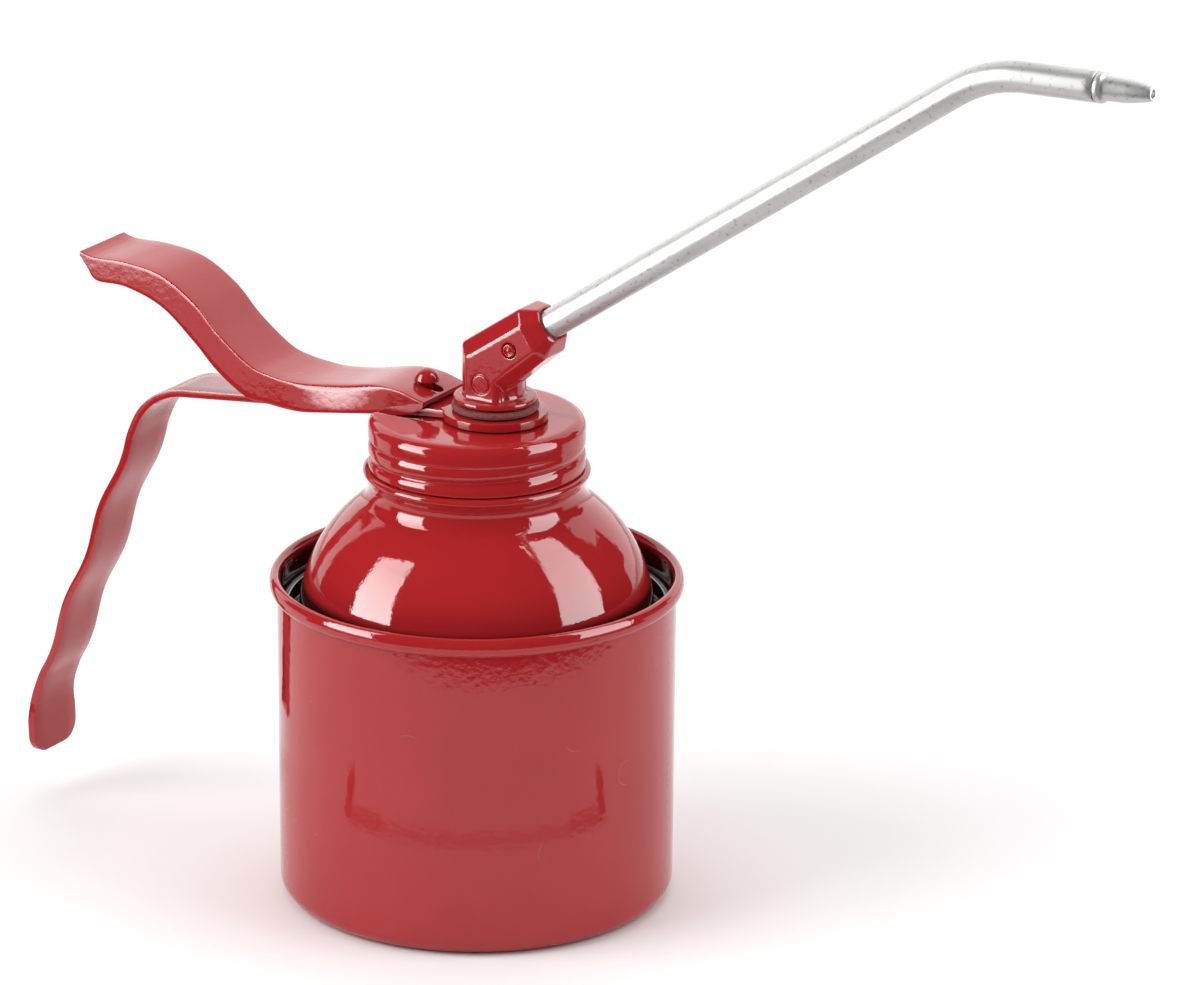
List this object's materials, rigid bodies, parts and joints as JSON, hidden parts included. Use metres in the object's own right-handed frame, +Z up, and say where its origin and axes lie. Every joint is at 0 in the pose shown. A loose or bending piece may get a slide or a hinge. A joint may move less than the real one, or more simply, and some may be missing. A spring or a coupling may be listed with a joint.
{
  "type": "pump oil can",
  "caption": "Thumb-operated oil can: a steel cup and domed shoulder with a screw cap that carries a sloping handle, a rocking lever, a piston pump and a bent spout.",
  "frame": {"origin": "centre of the underside of the cup, on the plane it stands on", "axes": "+Z up along the cup's axis; +X towards the spout's nozzle, with the handle on the -X side; +Y across, to the left of the spout's direction"},
  "size_m": [0.2546, 0.083, 0.1925],
  "materials": {
    "red_enamel": "gloss",
    "bare_aluminium": "satin",
    "bright_steel": "polished",
    "drawn_brass": "satin",
    "cast_zinc": "cast",
    "red_fibre": "matt",
    "black_rubber": "matt"
  },
  "bodies": {
    "vessel": {"cup_body": "red_enamel", "dome_shoulder": "red_enamel"},
    "seal": {"cap_gasket": "black_rubber"},
    "head": {"screw_cap": "red_enamel", "handle_strap": "red_enamel", "spout_elbow": "red_enamel", "elbow_plug": "red_enamel", "elbow_gasket": "red_fibre", "spout_tube": "bare_aluminium", "nozzle_tip": "bare_aluminium", "pump_gasket": "red_fibre", "pump_body": "cast_zinc", "rod_gland": "drawn_brass", "gland_packing": "black_rubber", "pump_cylinder": "drawn_brass", "return_spring": "bright_steel", "delivery_spring": "bright_steel", "foot_valve": "drawn_brass", "dip_tube": "bare_aluminium", "strainer": "drawn_brass"},
    "lever": {"thumb_lever": "red_enamel"},
    "pump_rod": {"piston_rod": "bright_steel", "piston": "drawn_brass", "piston_cup": "black_rubber", "piston_nut": "bright_steel"},
    "suction_valve": {"suction_ball": "bright_steel"},
    "delivery_valve": {"delivery_ball": "bright_steel"}
  },
  "joints": [
    {"name": "cap_lift", "type": "slide", "parent": "vessel", "child": "seal", "axis": [0, 0, 1], "range_m": [0, 0.0076]},
    {"name": "cap_turn", "type": "hinge", "parent": "seal", "child": "head", "pos_m": [0, 0, 0.0898], "axis": [0, 0, 1], "range_deg": [0, 720]},
    {"name": "lever_rock", "type": "hinge", "parent": "head", "child": "lever", "pos_m": [-0.037, 0, 0.10099], "axis": [0, -1, 0], "range_deg": [0, 16], "stiffness_Nm_per_rad": 0.29, "springref_deg": -11.46},
    {"name": "rod_lift", "type": "slide", "parent": "head", "child": "pump_rod", "axis": [0, 0, 1], "range_m": [0, 0.00631], "deforming": ["return_spring"]},
    {"name": "suction_ball_lift", "type": "slide", "parent": "head", "child": "suction_valve", "axis": [0, 0, 1], "range_m": [0, 0.0012]},
    {"name": "delivery_ball_lift", "type": "slide", "parent": "head", "child": "delivery_valve", "axis": [0, 0, 1], "range_m": [0, 0.0012], "stiffness_N_per_m": 40, "springref_m": -0.002, "deforming": ["delivery_spring"]}
  ],
  "couplings": [
    {"joint": "cap_turn", "follows": "cap_lift", "rad_per_m": 1653.5},
    {"joint": "lever_rock", "follows": "rod_lift", "rad_per_m": 44.248}
  ]
}
